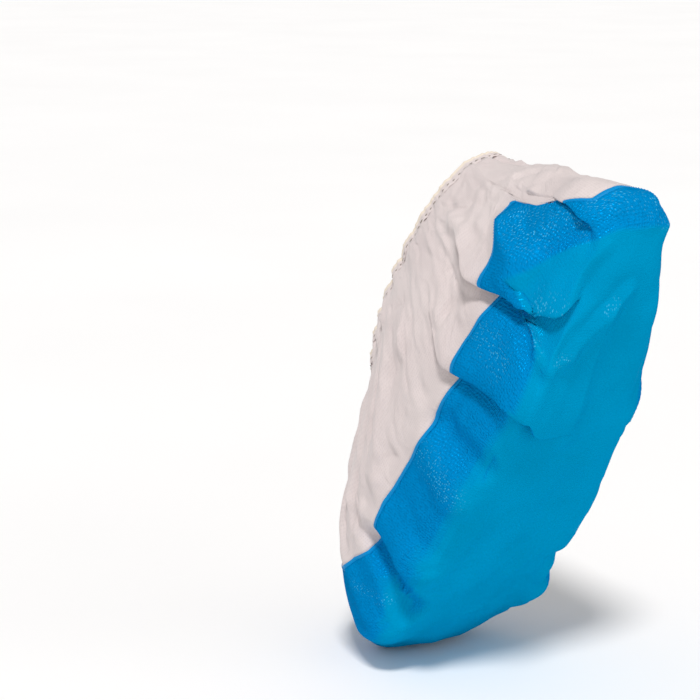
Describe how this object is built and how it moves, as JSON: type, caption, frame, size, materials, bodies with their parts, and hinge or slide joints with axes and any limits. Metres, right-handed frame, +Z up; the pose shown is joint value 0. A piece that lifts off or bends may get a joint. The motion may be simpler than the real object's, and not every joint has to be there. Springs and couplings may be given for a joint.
{
  "type": "disposable shoe cover",
  "caption": "Disposable overshoe with a blue film sole, a white nonwoven upper and a gathered elastic ankle opening, in its worn form with the heel raised.",
  "frame": {"origin": "centre of the ankle opening's hem", "axes": "+Z up, as it is worn with the toes on the ground and the heel raised; the toes point along -X; -Y is the side with the overlapping pleats"},
  "size_m": [0.2114, 0.1374, 0.2973],
  "materials": {
    "film": "embossed, satin gloss",
    "cloth": "matt nonwoven with fine bond points",
    "weld": "pressed weld",
    "hem": "matt, gathered"
  },
  "bodies": {
    "root": {"sole_film": "film", "side_seam": "weld", "upper_cloth": "cloth", "ankle_elastic": "hem", "toe_weld": "film"}
  },
  "joints": []
}
